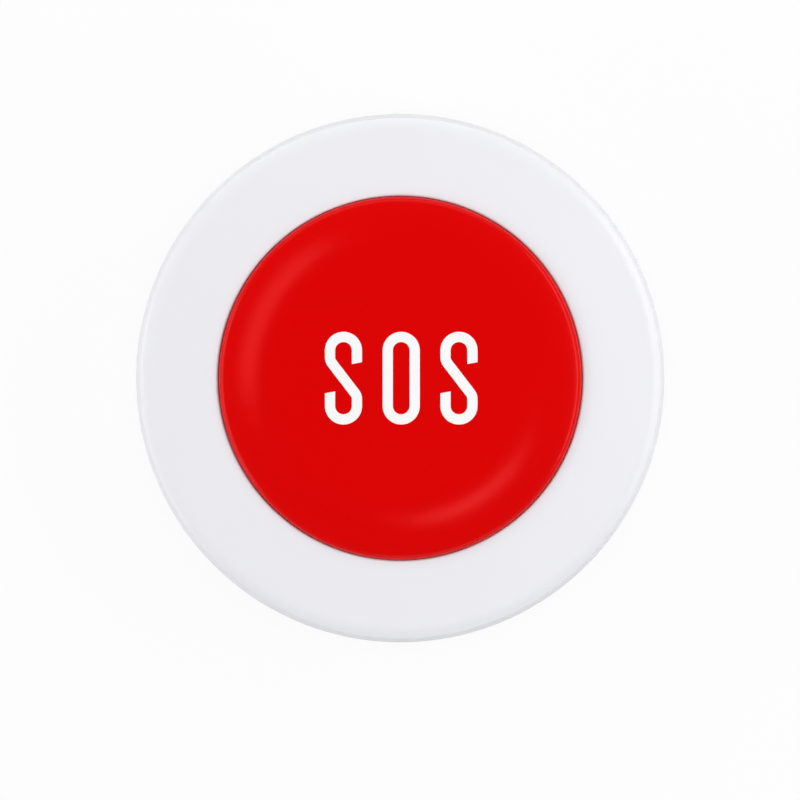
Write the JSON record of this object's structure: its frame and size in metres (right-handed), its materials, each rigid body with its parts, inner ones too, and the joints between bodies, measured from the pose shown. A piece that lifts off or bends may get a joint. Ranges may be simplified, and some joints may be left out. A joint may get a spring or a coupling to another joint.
{
  "type": "wireless panic button",
  "caption": "Round wall-mounted wireless call button with a large sprung red cap in a white case that twists onto its wall plate.",
  "frame": {"origin": "centre of the back, on the surface that the adhesive pads touch", "axes": "+Z out of the red cap along the press axis, +Y up when it hangs on a wall, +X to the right seen from the front"},
  "size_m": [0.06, 0.06, 0.0176],
  "materials": {
    "white_plastic": "satin white moulded plastic with a fine even surface",
    "red_plastic": null,
    "foam_tape": "closed-cell foam tape",
    "zinc_steel": "zinc-plated screws",
    "bright_steel": "nickel-plated sheet",
    "spring_steel": "plain spring wire",
    "tinned_metal": "tin-plated contact metal",
    "board_green": "green solder mask",
    "black_plastic": "black moulded plastic",
    "chip_black": "matte moulding compound",
    "copper_wire": "enamelled copper-plated wire",
    "lamp_clear": "cloudy lamp package",
    "ceramic_tan": "fired chip ceramic"
  },
  "bodies": {
    "wall_mount": {"wall_plate": "white_plastic", "adhesive_pads": "foam_tape"},
    "housing": {"front_cover": "white_plastic", "rear_cover": "white_plastic", "case_screws": "zinc_steel", "circuit_board": "board_green", "board_screws": "zinc_steel", "switch_body": "black_plastic", "switch_cover": "bright_steel", "switch_leads": "tinned_metal", "return_spring_1": "spring_steel", "return_spring_2": "spring_steel", "return_spring_3": "spring_steel", "battery_holder": "black_plastic", "coin_cell": "bright_steel", "positive_contact": "tinned_metal", "negative_contact": "tinned_metal", "radio_chip": "chip_black", "crystal": "bright_steel", "antenna": "copper_wire", "status_led": "lamp_clear", "buffer_capacitor": "chip_black", "chip_capacitors": "ceramic_tan", "chip_resistors": "chip_black"},
    "button": {"push_button": "red_plastic", "switch_plunger": "black_plastic"}
  },
  "joints": [
    {"name": "twist_lock", "type": "hinge", "parent": "wall_mount", "child": "housing", "pos_m": [0, 0, 0], "axis": [0, 0, 1], "range_deg": [0, 15]},
    {"name": "button_press", "type": "slide", "parent": "housing", "child": "button", "axis": [0, 0, -1], "range_m": [0, 0.0008], "stiffness_N_per_m": 900, "springref_m": -0.0012, "deforming": ["return_spring_1", "return_spring_2", "return_spring_3"]}
  ]
}
